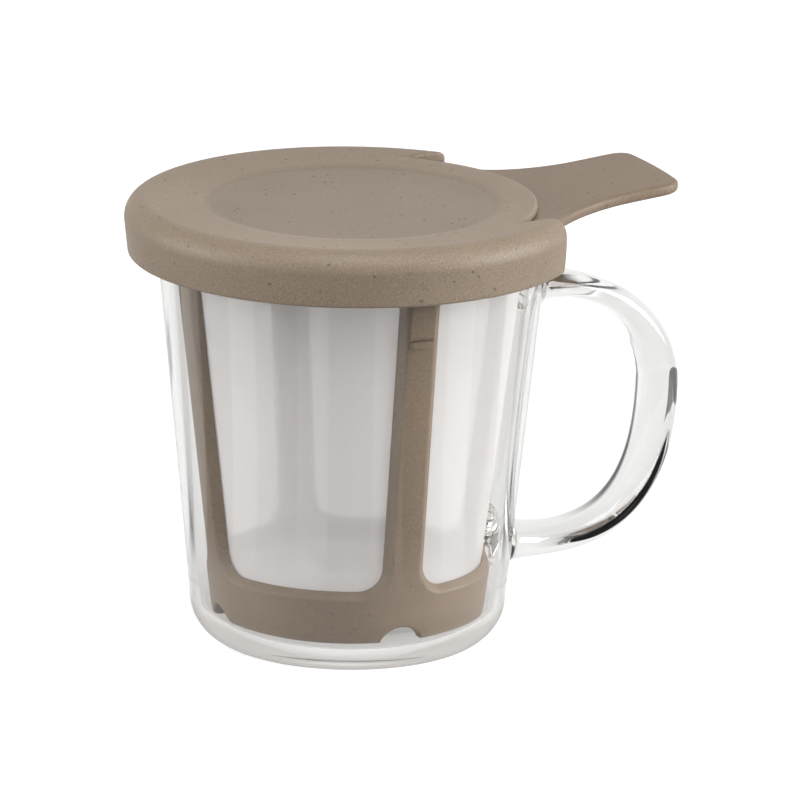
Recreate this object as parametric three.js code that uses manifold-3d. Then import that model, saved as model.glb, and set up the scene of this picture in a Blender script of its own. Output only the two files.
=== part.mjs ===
// Pour-over brewer for one cup: a glass mug, a strainer that hangs in its mouth and a lid.
// Millimetres, +Z up. The origin is the centre of the mug's foot and both handles point along +X.
import * as THREE from 'three';
import { mergeVertices } from 'three/addons/utils/BufferGeometryUtils.js';
import Module from 'manifold-3d';

const wasm = await Module();
wasm.setup();

// Fits that several pieces share
const seatGap = 0.3;
const overrun = 6;

// Glass cup
const cupHeight = 93.6;
const cupMouthRadius = 42.9;
const cupFootRadius = 33.5; // where the straight side would meet the table
const cupHeelRadius = 10.2;
const rimWall = 1.4;
const footWall = 2.1; // where the straight inside would meet the table
const glassFloor = 4;

// Glass handle, a flattened rod welded to the cup at both ends
const handleReach = 73.2; // from the cup's axis to the rod's centre line
const handleTop = 76.4; // height of the upper weld
const handleBottom = 18.9; // height of the lower weld
const handleBelly = 52.8; // height where the rod is furthest out
const rodWidth = 11.5;
const upperArmThickness = 4.7;
const lowerArmThickness = 6.8;
const bellyThickness = 8.8; // of the rod halfway round
const weldWidth = 17;
const weldThickness = 9.5;
const weldLength = 6; // how far the rod still flares away from the wall
const upperPullShare = 1; // how far the arcs' control points reach towards the rod's corners
const lowerPullShare = 0.22;
const lowerSagShare = 1.26;

// Strainer basket, its windows and its floor
const basketRimGap = 1.2; // beside the glass at the mouth
const basketFootGap = 1.3; // beside the glass at the foot
const basketLift = 2.7; // above the glass floor
const basketWall = 2.8;
const footSkirt = 6.5; // from the basket's foot up to its floor
const footEdge = 1.6;
const floorThickness = 2.2;
const floorRingWidth = 3.6;
const windowSill = 3.6; // above the floor
const windowLintel = 6.1; // below the flange
const windowCorner = 5;
const windowBevel = 1.55;
const ribFace = 6.3;
const meshInset = 2.15; // behind the ribs' outer faces
const meshThickness = 0.4;
const meshLap = 1; // of the mesh's edge behind the frame
const drainRadius = 4.75;
const drainRise = 3.75;
const levelHeight = 68.3; // of the fill mark's bar, above the basket's foot
const levelBar = 1.6;
const levelBarWidth = 5.1;
const levelBarProud = 0.9;
const levelRibProud = 0.5;

// Strainer flange and handle
const flangeThickness = 2.5;
const flangeOverhang = 2.2; // past the cup's mouth
const flangeEdge = 0.9;
const tabReach = 72.1;
const tabWidth = 30.9;
const tabRise = 3.6;
const tabStraight = 59.7; // from the cup's axis to where the sides run straight
const tabCorner = 4.2;
const tabBulge = 0.4;

// Lid
const skirtDepth = 9.9; // below the seat on the flange
const skirtWall = 2.3;
const skirtDraft = 0.9;
const skirtLip = 0.7;
const lidSideGap = 2.1; // beside the flange
const crownHeight = 2.3; // of the rim's crest above the seat
const crownRadius = 4.5;
const dishRadius = 33.4;
const dishDrop = 1.4; // below the crest
const plateThickness = 1.3;
const spigotGap = 0.4; // inside the basket's mouth
const spigotWidth = 1.5;
const spigotDepth = 2.6;
const notchWidth = 62.2;
const notchPlateRadius = 40; // the plate's edge inside the notch
const notchCorner = 2.2;

// Counts
const ribCount = 4;
const turnFacets = 60;
const filletFacets = 8;
const edgeFacets = 2;
const windowFacets = 8;
const cornerFacets = 4;
const drainFacets = 20;
const rodFacets = 14;
const rodSteps = 28;

const plastic = new THREE.MeshStandardMaterial({ color: 0x8d8376, roughness: 0.75, metalness: 0 });
const lidPlastic = new THREE.MeshStandardMaterial({ color: 0x9a8f82, roughness: 0.75, metalness: 0 });
const netting = new THREE.MeshStandardMaterial({ color: 0xcbc6c2, roughness: 0.9, metalness: 0 });
const glass = new THREE.MeshStandardMaterial({
  color: 0xe6ece8, roughness: 0.04, metalness: 0, transparent: true, opacity: 0.35,
});

// Solids and the ways to make them

function toSolid(geometry) {
  geometry.deleteAttribute('normal');
  geometry.deleteAttribute('uv');
  const merged = mergeVertices(geometry);
  const corners = merged.index.array;
  const kept = [];
  for (let i = 0; i < corners.length; i += 3) {
    const [a, b, c] = [corners[i], corners[i + 1], corners[i + 2]];
    if (a !== b && b !== c && c !== a) kept.push(a, b, c);
  }
  const mesh = new wasm.Mesh({
    numProp: 3,
    vertProperties: new Float32Array(merged.attributes.position.array),
    triVerts: new Uint32Array(kept),
  });
  return new wasm.Manifold(mesh);
}

function toMesh(name, solid, material) {
  const { vertProperties, triVerts } = solid.getMesh();
  const geometry = new THREE.BufferGeometry();
  geometry.setAttribute('position', new THREE.BufferAttribute(vertProperties, 3));
  geometry.setIndex(new THREE.BufferAttribute(triVerts, 1));
  geometry.computeVertexNormals();
  const mesh = new THREE.Mesh(geometry, material);
  mesh.name = name;
  return mesh;
}

// Turns a profile of [radius, height] points, given anticlockwise, about the Z axis.
function revolve(profile) {
  const points = profile.map(([radius, height]) => new THREE.Vector2(radius, height));
  return toSolid(new THREE.LatheGeometry(points, turnFacets).rotateX(Math.PI / 2));
}

// Skins rings of points that all have the same count and run clockwise as seen along the loft.
function loft(rings, startCentre, endCentre) {
  const count = rings[0].length;
  const points = [...rings.flat(), startCentre, endCentre];
  const faces = [];
  const start = points.length - 2;
  const end = points.length - 1;
  const lastRing = (rings.length - 1) * count;
  for (let i = 0; i < count; i++) {
    const j = (i + 1) % count;
    for (let ring = 0; ring < lastRing; ring += count) {
      faces.push(ring + i, ring + j, ring + count + j, ring + i, ring + count + j, ring + count + i);
    }
    faces.push(start, j, i, end, lastRing + i, lastRing + j);
  }
  const geometry = new THREE.BufferGeometry().setFromPoints(points);
  geometry.setIndex(faces);
  return toSolid(geometry);
}

function arc(radius, height, size, fromDegrees, toDegrees, steps) {
  return Array.from({ length: steps + 1 }, (_, i) => {
    const angle = THREE.MathUtils.degToRad(fromDegrees + (toDegrees - fromDegrees) * i / steps);
    return [radius + size * Math.cos(angle), height + size * Math.sin(angle)];
  });
}

function box(lengthX, lengthY, lengthZ, x, y, z) {
  return toSolid(new THREE.BoxGeometry(lengthX, lengthY, lengthZ).translate(x, y, z));
}

// Glass cup: a straight taper over a rounded heel, with a fire-polished rim

const cupSlope = (cupMouthRadius - cupFootRadius) / cupHeight;
const boreSlope = cupSlope - (rimWall - footWall) / cupHeight;
const cupDraft = THREE.MathUtils.radToDeg(Math.atan(cupSlope));
const boreDraft = THREE.MathUtils.radToDeg(Math.atan(boreSlope));
const innerHeelRadius = cupHeelRadius - (footWall + glassFloor) / 2;
const innerHeelHeight = glassFloor + innerHeelRadius;
const innerHeelCentre = cupInnerRadius(innerHeelHeight) - innerHeelRadius * Math.hypot(1, boreSlope);

function cupOuterRadius(height) {
  return cupFootRadius + cupSlope * height;
}

function cupInnerRadius(height) {
  return cupFootRadius - footWall + boreSlope * height;
}

// The bore's radius, with the rounded heel where the height lies in it
function cupBoreRadius(height) {
  const drop = innerHeelHeight - height;
  if (drop <= 0) return cupInnerRadius(height);
  return innerHeelCentre + Math.sqrt(Math.max(innerHeelRadius ** 2 - drop ** 2, 0));
}

function makeCup() {
  const heelCentre = cupOuterRadius(cupHeelRadius) - cupHeelRadius * Math.hypot(1, cupSlope);
  const rimRadius = rimWall / 2;
  const rimHeight = cupHeight - rimRadius;
  const rimCentre = (cupOuterRadius(rimHeight) + cupInnerRadius(rimHeight)) / 2;
  return revolve([
    [0, 0],
    ...arc(heelCentre, cupHeelRadius, cupHeelRadius, -90, -cupDraft, filletFacets),
    ...arc(rimCentre, rimHeight, rimRadius, -cupDraft, 180 - boreDraft, 2 * edgeFacets),
    ...arc(innerHeelCentre, innerHeelHeight, innerHeelRadius, -boreDraft, -90, filletFacets),
    [0, glassFloor],
  ]);
}

// Glass handle: a flattened rod swept on two Bezier arcs, thickest at its belly and flared into a pad
// at each weld

function rodSection(centre, tangent, width, thickness) {
  const across = new THREE.Vector3(0, 1, 0);
  const outward = new THREE.Vector3().crossVectors(across, tangent);
  return Array.from({ length: rodFacets }, (_, i) => {
    const angle = -2 * Math.PI * i / rodFacets;
    return centre.clone()
      .addScaledVector(across, width / 2 * Math.cos(angle))
      .addScaledVector(outward, thickness / 2 * Math.sin(angle));
  });
}

function makeHandle() {
  const topRadius = cupInnerRadius(handleTop);
  const bottomRadius = cupInnerRadius(handleBottom);
  const belly = new THREE.Vector3(handleReach, 0, handleBelly);
  const path = new THREE.CurvePath();
  path.add(new THREE.CubicBezierCurve3(
    new THREE.Vector3(topRadius, 0, handleTop),
    new THREE.Vector3(topRadius + upperPullShare * (handleReach - topRadius), 0, handleTop),
    belly,
    belly,
  ));
  path.add(new THREE.CubicBezierCurve3(
    belly,
    new THREE.Vector3(handleReach, 0, handleBelly - lowerSagShare * (handleBelly - handleBottom)),
    new THREE.Vector3(bottomRadius + lowerPullShare * (handleReach - bottomRadius), 0, handleBottom),
    new THREE.Vector3(bottomRadius, 0, handleBottom),
  ));
  const length = path.getLength();
  const rings = Array.from({ length: rodSteps + 1 }, (_, i) => {
    const along = i / rodSteps;
    const fromWeld = Math.min(along, 1 - along) * length - footWall;
    const flare = Math.exp(-Math.max(fromWeld, 0) / weldLength);
    const armThickness = THREE.MathUtils.lerp(upperArmThickness, lowerArmThickness, along);
    const thickness = THREE.MathUtils.lerp(armThickness, bellyThickness, Math.sin(Math.PI * along) ** 3);
    return rodSection(
      path.getPointAt(along), path.getTangentAt(along),
      rodWidth + (weldWidth - rodWidth) * flare,
      thickness + (weldThickness - thickness) * flare,
    );
  });
  const rod = loft(rings, path.getPointAt(0), path.getPointAt(1));
  const cupSpace = revolve([
    [0, 0],
    [cupOuterRadius(0) + seatGap, 0],
    [cupOuterRadius(cupHeight) + seatGap, cupHeight],
    [0, cupHeight],
  ]);
  return rod.subtract(cupSpace);
}

// Strainer: the basket's outer face is one cone, and depths are measured inwards from it

const basketFoot = glassFloor + basketLift;
const flangeBottom = cupHeight + seatGap;
const flangeTop = flangeBottom + flangeThickness;
const flangeRadius = cupMouthRadius + flangeOverhang;
const basketFootRadius = cupBoreRadius(basketFoot) - basketFootGap;
const basketRimRadius = cupInnerRadius(cupHeight) - basketRimGap;
const basketFloor = basketFoot + footSkirt + floorThickness;
const windowBottom = basketFloor + windowSill;
const windowTop = flangeBottom - windowLintel;
const windowMiddle = (windowBottom + windowTop) / 2;
const meshSeat = meshInset - seatGap;
const basketFloorOpening = basketRadius(basketFloor, basketWall) - floorRingWidth;
const floorMeshTop = basketFloor - seatGap;
const floorMeshSeat = floorMeshTop - meshThickness - seatGap;

function basketRadius(height, depth) {
  const slope = (basketRimRadius - basketFootRadius) / (cupHeight - basketFoot);
  return basketFootRadius + slope * (height - basketFoot) - depth;
}

// A ring of the basket's cone between two depths
function coneShell(bottom, top, outerDepth, innerDepth) {
  const profile = [
    [basketRadius(bottom, outerDepth), bottom],
    [basketRadius(top, outerDepth), top],
    [basketRadius(top, innerDepth), top],
    [basketRadius(bottom, innerDepth), bottom],
  ];
  return revolve([...profile, profile[0]]);
}

// One window's outline on the cone: its sides keep one distance from the ribs' middle planes.
function windowRing(depth, growth) {
  const ribSide = ribFace / 2 + windowBevel - growth;
  const corner = windowCorner + growth;
  const pitch = 2 * Math.PI / ribCount;
  const low = windowBottom - growth;
  const high = windowTop + growth;
  const place = (inset, height, mirrored) => {
    const radius = basketRadius(height, depth);
    const angle = Math.asin(ribSide / radius) + inset / radius;
    const turn = mirrored ? pitch - angle : angle;
    return new THREE.Vector3(radius * Math.cos(turn), radius * Math.sin(turn), height);
  };
  const bend = (height, fromDegrees, toDegrees, mirrored) =>
    arc(corner, height, corner, fromDegrees, toDegrees, cornerFacets)
      .map(([inset, level]) => place(inset, level, mirrored));
  const span = (height) => {
    const radius = basketRadius(height, depth);
    const start = Math.asin(ribSide / radius) + corner / radius;
    return Array.from({ length: windowFacets - 1 }, (_, i) => {
      const turn = start + (pitch - 2 * start) * (i + 1) / windowFacets;
      return new THREE.Vector3(radius * Math.cos(turn), radius * Math.sin(turn), height);
    });
  };
  return [
    ...span(low),
    ...bend(low + corner, 270, 180, true),
    ...bend(high - corner, 180, 90, true),
    ...span(high).reverse(),
    ...bend(high - corner, 90, 180, false),
    ...bend(low + corner, 180, 270, false),
  ];
}

// The solid through one window whose outline is given at each depth, from the inside out
function windowPlug(levels) {
  const middle = Math.PI / ribCount;
  const centre = ([depth]) => new THREE.Vector3(Math.cos(middle), Math.sin(middle), 0)
    .multiplyScalar(basketRadius(windowMiddle, depth)).setZ(windowMiddle);
  const rings = levels.map(([depth, growth]) => windowRing(depth, growth));
  return loft(rings, centre(levels[0]), centre(levels[levels.length - 1]));
}

function ribTurn(index) {
  return [0, 0, 360 * index / ribCount];
}

// One sheet of mesh behind a window, or the pocket that it sits in
function meshPanel(outerDepth, innerDepth, lap) {
  const sheet = coneShell(windowBottom - overrun, windowTop + overrun, outerDepth, innerDepth);
  return sheet.intersect(windowPlug([[basketWall + overrun, lap], [-overrun, lap]]));
}

function makeWindowCut() {
  const wideBevel = windowBevel * (meshSeat + levelBarProud) / meshSeat;
  const opening = windowPlug([
    [basketWall + overrun, 0],
    [meshSeat, 0],
    [-levelBarProud, wideBevel],
    [-overrun, wideBevel],
  ]);
  const pocket = meshPanel(meshSeat, basketWall + overrun, meshLap + seatGap);
  return opening.add(pocket);
}

function makeBasket() {
  const inner = (height) => basketRadius(height, basketWall);
  const profile = [
    [basketFloorOpening, basketFoot + footSkirt],
    [inner(basketFoot + footSkirt), basketFoot + footSkirt],
    [inner(basketFoot), basketFoot],
    ...arc(basketRadius(basketFoot + footEdge, footEdge), basketFoot + footEdge, footEdge, -90, 0,
      edgeFacets),
    [basketRadius(flangeBottom, 0), flangeBottom],
    ...arc(flangeRadius - flangeEdge, flangeBottom + flangeEdge, flangeEdge, -90, 0,
      edgeFacets),
    ...arc(flangeRadius - flangeEdge, flangeTop - flangeEdge, flangeEdge, 0, 90,
      edgeFacets),
    ...arc(inner(flangeTop) + flangeEdge, flangeTop - flangeEdge, flangeEdge, 90, 180,
      edgeFacets),
    [inner(basketFloor), basketFloor],
    [basketFloorOpening + meshLap + seatGap, basketFloor],
    [basketFloorOpening + meshLap + seatGap, floorMeshSeat],
    [basketFloorOpening, floorMeshSeat],
  ];
  return revolve([...profile, profile[0]]);
}

// A round-topped drain through the foot's edge, along +X
function makeDrainCut() {
  const length = flangeRadius;
  const cut = new THREE.CylinderGeometry(drainRadius, drainRadius, length, drainFacets)
    .rotateZ(Math.PI / 2)
    .translate(length / 2, 0, basketFoot + drainRise - drainRadius);
  return toSolid(cut);
}

// The fill mark on the rib that faces -Y: a bar, with the rib above it a little proud. The windows'
// bevels trim both.
function makeLevelMark() {
  const barBottom = basketFoot + levelHeight;
  const barTop = barBottom + levelBar;
  const bar = coneShell(barBottom, barTop, -levelBarProud, basketWall / 2)
    .intersect(box(levelBarWidth, flangeRadius, levelBar, 0, -flangeRadius / 2, barBottom + levelBar / 2));
  const ribHeight = flangeBottom - barTop;
  const rib = coneShell(barTop, flangeBottom, -levelRibProud, basketWall / 2)
    .intersect(box(ribFace, flangeRadius, ribHeight, 0, -flangeRadius / 2, barTop + ribHeight / 2));
  return bar.add(rib);
}

// The handle: a flat tab whose root fillets run tangent into the flange, and which rises to its tip
function makeTab() {
  const half = tabWidth / 2;
  const fillet = (tabStraight ** 2 + half ** 2 - flangeRadius ** 2) / (2 * (flangeRadius - half));
  const rootAngle = Math.atan2(half + fillet, tabStraight);
  const side = half - flangeEdge;
  const rounding = fillet + flangeEdge;
  const tipSide = tabReach - tabBulge - flangeEdge;
  const tipHalf = side - tabCorner;
  const tipRadius = (tipHalf ** 2 + tabBulge ** 2) / (2 * tabBulge);
  const tipAngle = Math.asin(tipHalf / tipRadius);
  const tipCentre = tipSide + tabBulge - tipRadius;
  const shape = new THREE.Shape();
  shape.absarc(tabStraight, -side - rounding, rounding, Math.PI - rootAngle, Math.PI / 2, true);
  shape.absarc(tipSide - tabCorner, tabCorner - side, tabCorner, -Math.PI / 2, -tipAngle, false);
  shape.absarc(tipCentre, 0, tipRadius, -tipAngle, tipAngle, false);
  shape.absarc(tipSide - tabCorner, side - tabCorner, tabCorner, tipAngle, Math.PI / 2, false);
  shape.absarc(tabStraight, side + rounding, rounding, -Math.PI / 2, rootAngle - Math.PI, true);
  const geometry = new THREE.ExtrudeGeometry(shape, {
    depth: flangeThickness - 2 * flangeEdge,
    curveSegments: filletFacets,
    bevelSize: flangeEdge,
    bevelThickness: flangeEdge,
    bevelSegments: edgeFacets,
  }).translate(0, 0, flangeBottom + flangeEdge);
  const points = geometry.attributes.position;
  for (let i = 0; i < points.count; i++) {
    const along = Math.max(points.getX(i) - basketRimRadius, 0) / (tabReach - basketRimRadius);
    points.setZ(i, points.getZ(i) + tabRise * along);
  }
  const mouth = revolve([
    [0, flangeBottom - overrun],
    [basketRimRadius, flangeBottom - overrun],
    [basketRimRadius, flangeTop + overrun],
    [0, flangeTop + overrun],
  ]);
  return toSolid(geometry).subtract(mouth);
}

function makeStrainer() {
  const windowCut = makeWindowCut();
  const drainCut = makeDrainCut();
  let frame = makeBasket().add(makeLevelMark());
  for (let i = 0; i < ribCount; i++) {
    frame = frame.subtract(windowCut.rotate(ribTurn(i))).subtract(drainCut.rotate(ribTurn(i)));
  }
  return frame.add(makeTab());
}

function makeFloorMesh() {
  const radius = basketFloorOpening + meshLap;
  return revolve([
    [0, floorMeshTop - meshThickness],
    [radius, floorMeshTop - meshThickness],
    [radius, floorMeshTop],
    [0, floorMeshTop],
  ]);
}

// Lid: a dished plate with a rounded rim and a skirt round the flange, notched for the strainer's handle

const lidSeat = flangeTop + seatGap;
const crest = lidSeat + crownHeight;
const skirtInner = flangeRadius + lidSideGap;
const lidRadius = skirtInner + skirtWall;

function makeLid() {
  const dishTop = crest - dishDrop;
  const dishBottom = dishTop - plateThickness;
  const crownCentre = lidRadius - crownRadius;
  const crownMiddle = crest - crownRadius;
  const skirtBottom = lidSeat - skirtDepth;
  const dishSlope = THREE.MathUtils.radToDeg(Math.atan(dishDrop / (crownCentre - dishRadius)));
  const spigotRadius = basketRadius(cupHeight, basketWall) - spigotGap;
  const body = revolve([
    [0, dishBottom],
    [spigotRadius - spigotWidth, dishBottom],
    [spigotRadius - spigotWidth, dishBottom - spigotDepth],
    [spigotRadius, dishBottom - spigotDepth],
    [spigotRadius, lidSeat],
    [skirtInner - skirtLip, lidSeat],
    [skirtInner, lidSeat - skirtLip],
    [skirtInner - skirtDraft, skirtBottom + skirtLip],
    ...arc(lidRadius - skirtDraft - skirtLip, skirtBottom + skirtLip, skirtLip, -90, 0,
      edgeFacets),
    ...arc(crownCentre, crownMiddle, crownRadius, 0, 90 + dishSlope, filletFacets),
    [dishRadius, dishTop],
    [0, dishTop],
  ]);
  return body.subtract(makeNotchCut(skirtBottom));
}

// The notch seen from above: parallel sides, rounded where they meet the skirt's outer face
function makeNotchCut(skirtBottom) {
  const half = notchWidth / 2;
  const plateAngle = Math.asin(half / notchPlateRadius);
  const cornerOffset = half + notchCorner;
  const cornerCentre = Math.sqrt((lidRadius - notchCorner) ** 2 - cornerOffset ** 2);
  const cornerAngle = Math.atan2(cornerOffset, cornerCentre);
  const outside = lidRadius + overrun;
  const shape = new THREE.Shape();
  shape.absarc(0, 0, notchPlateRadius, plateAngle, -plateAngle, true);
  shape.absarc(cornerCentre, -cornerOffset, notchCorner, Math.PI / 2, -cornerAngle, true);
  shape.lineTo(outside * Math.cos(cornerAngle), -outside * Math.sin(cornerAngle));
  shape.lineTo(outside + overrun, 0);
  shape.lineTo(outside * Math.cos(cornerAngle), outside * Math.sin(cornerAngle));
  shape.absarc(cornerCentre, cornerOffset, notchCorner, cornerAngle, -Math.PI / 2, true);
  const depth = crest - skirtBottom + 2 * overrun;
  const curveSegments = 2 * filletFacets;
  const geometry = new THREE.ExtrudeGeometry(shape, { depth, curveSegments, bevelEnabled: false });
  return toSolid(geometry.translate(0, 0, skirtBottom - overrun));
}

const mug = new THREE.Group();
mug.add(toMesh('glass_cup', makeCup(), glass));
mug.add(toMesh('glass_handle', makeHandle(), glass));

const strainer = new THREE.Group();
strainer.add(toMesh('strainer_frame', makeStrainer(), plastic));
const panel = meshPanel(meshInset, meshInset + meshThickness, meshLap);
for (let i = 0; i < ribCount; i++) {
  strainer.add(toMesh(`mesh_panel_${i + 1}`, panel.rotate(ribTurn(i)), netting));
}
strainer.add(toMesh('floor_mesh', makeFloorMesh(), netting));

const brewer = new THREE.Group();
brewer.add(mug, strainer, toMesh('lid', makeLid(), lidPlastic));

export default brewer;
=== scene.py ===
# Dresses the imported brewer: a glass mug, a strainer that hangs in its mouth and a notched lid.
# Shapes are worked out in millimetres and put into the meshes in metres.
import math

import bmesh
import bpy
import numpy as np
from mathutils import Matrix


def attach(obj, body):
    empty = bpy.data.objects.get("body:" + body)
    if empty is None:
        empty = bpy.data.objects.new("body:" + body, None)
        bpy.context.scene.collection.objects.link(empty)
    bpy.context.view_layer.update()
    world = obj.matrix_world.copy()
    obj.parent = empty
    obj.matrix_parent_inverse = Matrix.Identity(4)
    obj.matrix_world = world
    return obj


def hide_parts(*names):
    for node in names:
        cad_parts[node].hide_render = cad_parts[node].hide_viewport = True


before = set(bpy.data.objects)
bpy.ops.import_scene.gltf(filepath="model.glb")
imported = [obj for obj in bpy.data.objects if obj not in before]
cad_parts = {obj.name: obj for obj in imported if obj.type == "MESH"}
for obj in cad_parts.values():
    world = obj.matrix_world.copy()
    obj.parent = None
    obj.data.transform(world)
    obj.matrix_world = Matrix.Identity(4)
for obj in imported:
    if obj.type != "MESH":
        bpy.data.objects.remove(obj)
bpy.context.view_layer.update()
print("frame loaded:", ", ".join(sorted(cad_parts)))

# Camera: where the photograph was taken from
photoView = {
    "distance": 2.3092,  # metres from the mug's axis along the table
    "height": 0.68487,  # metres above the table
    "turn": 23.0,  # degrees between the camera's right and the handles
    "yaw": 0.004692,  # radians
    "pitch": 0.266835,
    "roll": -0.014569,
    "lens": 495.77,  # millimetres
    "sensor": 36.0,
    "near": 0.01,
    "far": 50.0,
}


def spin(points, angle):
    # turns points about the Z axis by an angle in radians
    cosine, sine = math.cos(angle), math.sin(angle)
    turn = np.array([[cosine, -sine, 0.0], [sine, cosine, 0.0], [0.0, 0.0, 1.0]])
    return points @ turn.T


def makeCamera(view):
    # forward, right and up come from yaw and pitch, then right and up turn about forward by the roll
    sinYaw, cosYaw = math.sin(view["yaw"]), math.cos(view["yaw"])
    sinPitch, cosPitch = math.sin(view["pitch"]), math.cos(view["pitch"])
    sinRoll, cosRoll = math.sin(view["roll"]), math.cos(view["roll"])
    forward = np.array([sinYaw * cosPitch, cosYaw * cosPitch, -sinPitch])
    up = np.array([sinYaw * sinPitch, cosYaw * sinPitch, cosPitch])
    right = np.array([cosYaw, -sinYaw, 0.0])
    rows = np.array([
        right * cosRoll - up * sinRoll,
        right * sinRoll + up * cosRoll,
        -forward,
        [0.0, -view["distance"], view["height"]],
    ])
    turned = spin(rows, -math.radians(view["turn"]))
    data = bpy.data.cameras.new("camera")
    data.lens = view["lens"]
    data.sensor_width = view["sensor"]
    data.clip_start = view["near"]
    data.clip_end = view["far"]
    camera = bpy.data.objects.new("camera", data)
    placed = np.identity(4)
    placed[:3, :] = turned.T
    camera.matrix_world = Matrix(placed.tolist())
    bpy.context.scene.collection.objects.link(camera)
    bpy.context.scene.camera = camera


makeCamera(photoView)
print("camera placed")


# Outlines and surfaces

def filletPath(corners, turnStep=8.0, longest=1.5):
    # each corner (x, y, radius) becomes an arc that is tangent to the lines on both sides of it, and
    # long lines are divided evenly
    places = np.array([corner[:2] for corner in corners], float)
    path = [places[:1]]
    for i in range(1, len(corners)):
        radius = corners[i][2]
        if radius == 0 or i == len(corners) - 1:
            path.append(places[i:i + 1])
            continue
        before = places[i - 1] - places[i]
        after = places[i + 1] - places[i]
        before /= np.hypot(*before)
        after /= np.hypot(*after)
        half = math.acos(np.clip(before @ after, -1, 1)) / 2
        middle = (before + after) / np.hypot(*(before + after))
        centre = places[i] + middle * radius / math.sin(half)
        start = places[i] + before * radius / math.tan(half) - centre
        side = math.copysign(1, before[0] * after[1] - before[1] * after[0])
        sweep = -side * (math.pi - 2 * half)
        steps = max(2, math.ceil(abs(math.degrees(sweep)) / turnStep))
        angles = np.linspace(0, sweep, steps + 1)
        across = np.array([-start[1], start[0]])
        path.append(centre + np.outer(np.cos(angles), start) + np.outer(np.sin(angles), across))
    path = np.vstack(path)
    gaps = np.hypot(*np.diff(path, axis=0).T)
    path = path[np.append(True, gaps > 1e-9)]
    pieces = []
    for start, end in zip(path[:-1], path[1:]):
        count = max(1, math.ceil(np.hypot(*(end - start)) / longest))
        pieces.append(start + np.outer(np.arange(count) / count, end - start))
    return np.vstack(pieces + [path[-1:]])


def gridFaces(rows, columns, closed):
    # four-sided faces between neighbouring rows and columns, with points numbered row by row
    across = columns if closed else columns - 1
    row, column = np.meshgrid(np.arange(rows - 1), np.arange(across), indexing="ij")
    near = row * columns + column
    far = row * columns + (column + 1) % columns
    return np.stack([near, far, far + columns, near + columns], -1).reshape(-1, 4)


def polar(radius, angle, height):
    # points at a radius and an angle round the Z axis, and at a height
    return np.stack([radius * np.cos(angle), radius * np.sin(angle), height + 0 * angle], -1)


def lengthTo(line):
    # how far along a line each of its points is
    return np.append(0, np.cumsum(np.hypot(*np.diff(line, axis=0).T)))


def leftOf(line, *along):
    # at each point of a line the direction a quarter turn to its left
    tangent = np.gradient(line, *along, axis=0)
    tangent /= np.hypot(*tangent.T)[:, None]
    return np.stack([-tangent[:, 1], tangent[:, 0]], -1)


def gridPart(grid, closed):
    # a grid of points, rows by columns by 3, with its faces
    rows, columns = grid.shape[:2]
    return grid.reshape(-1, 3), gridFaces(rows, columns, closed)


def turnedPart(profile, columns):
    # a profile of (radius, height) turned about the Z axis, with columns going anticlockwise
    angles = np.arange(columns) * 2 * math.pi / columns
    return gridPart(polar(profile[:, :1], angles, profile[:, 1:]), True)


def makePiece(name, parts, sharpFrom=50.0):
    # the parts' points go into one mesh, equal points are joined and the faces are turned outwards
    starts = np.cumsum([0] + [len(points) for points, _ in parts[:-1]])
    points = np.vstack([points for points, _ in parts]) / 1000
    faces = [(corners + start).tolist() for (_, corners), start in zip(parts, starts)]
    mesh = bpy.data.meshes.new(name)
    mesh.from_pydata(points.tolist(), [], sum(faces, []))
    form = bmesh.new()
    form.from_mesh(mesh)
    bmesh.ops.remove_doubles(form, verts=form.verts, dist=2e-6)
    bmesh.ops.dissolve_degenerate(form, edges=form.edges, dist=1e-6)
    bmesh.ops.recalc_face_normals(form, faces=form.faces)
    openEdges = sum(not edge.is_manifold for edge in form.edges)
    form.to_mesh(mesh)
    form.free()
    mesh.shade_smooth()
    mesh.set_sharp_from_angle(angle=math.radians(sharpFrom))
    piece = bpy.data.objects.new(name, mesh)
    bpy.context.scene.collection.objects.link(piece)
    print(f"{name}: {len(mesh.polygons)} faces, {openEdges} open edges")
    return piece


def finishPiece(piece, body, slotName, material, *nodes):
    # gives a piece its material, its body and the nodes that it stands for
    piece.data.materials.clear()
    piece.data.materials.append(material)
    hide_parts(*nodes)
    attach(piece, body)


# Shared finishes

def newTree(name):
    # a material with nothing but a Principled shader and its output
    material = bpy.data.materials.new(name)
    material.use_nodes = True
    tree = material.node_tree
    tree.nodes.clear()
    output = tree.nodes.new("ShaderNodeOutputMaterial")
    shader = tree.nodes.new("ShaderNodeBsdfPrincipled")
    tree.links.new(shader.outputs["BSDF"], output.inputs["Surface"])
    return material, tree, shader, output


def feed(tree, node, values):
    # sets a node's inputs to plain numbers and colours, or links them to other nodes' outputs
    for label, value in values.items():
        if isinstance(value, (int, float, tuple)):
            node.inputs[label].default_value = value
        else:
            tree.links.new(value, node.inputs[label])


def addMath(tree, operation, *values):
    # a Math node's result
    node = tree.nodes.new("ShaderNodeMath")
    node.operation = operation
    feed(tree, node, dict(enumerate(values)))
    return node.outputs[0]


def product(tree, result, *others):
    # all the values multiplied together
    for value in others:
        result = addMath(tree, "MULTIPLY", result, value)
    return result


def addMix(tree, share, first, second):
    # a mix of two colours
    node = tree.nodes.new("ShaderNodeMix")
    node.data_type = "RGBA"
    feed(tree, node, {"Factor": share, "A": first, "B": second})
    return node.outputs["Result"]


def addShaders(tree, share, first, second):
    # a mix of two nodes' shaders
    node = tree.nodes.new("ShaderNodeMixShader")
    feed(tree, node, {"Fac": share, 1: first.outputs[0], 2: second.outputs[0]})
    return node


def addBump(tree, shader, height, strength, depth):
    # lets a height tilt the shader's surface, with the depth in metres
    node = tree.nodes.new("ShaderNodeBump")
    feed(tree, node, {"Strength": strength, "Distance": depth, "Height": height})
    feed(tree, shader, {"Normal": node.outputs["Normal"]})


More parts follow.
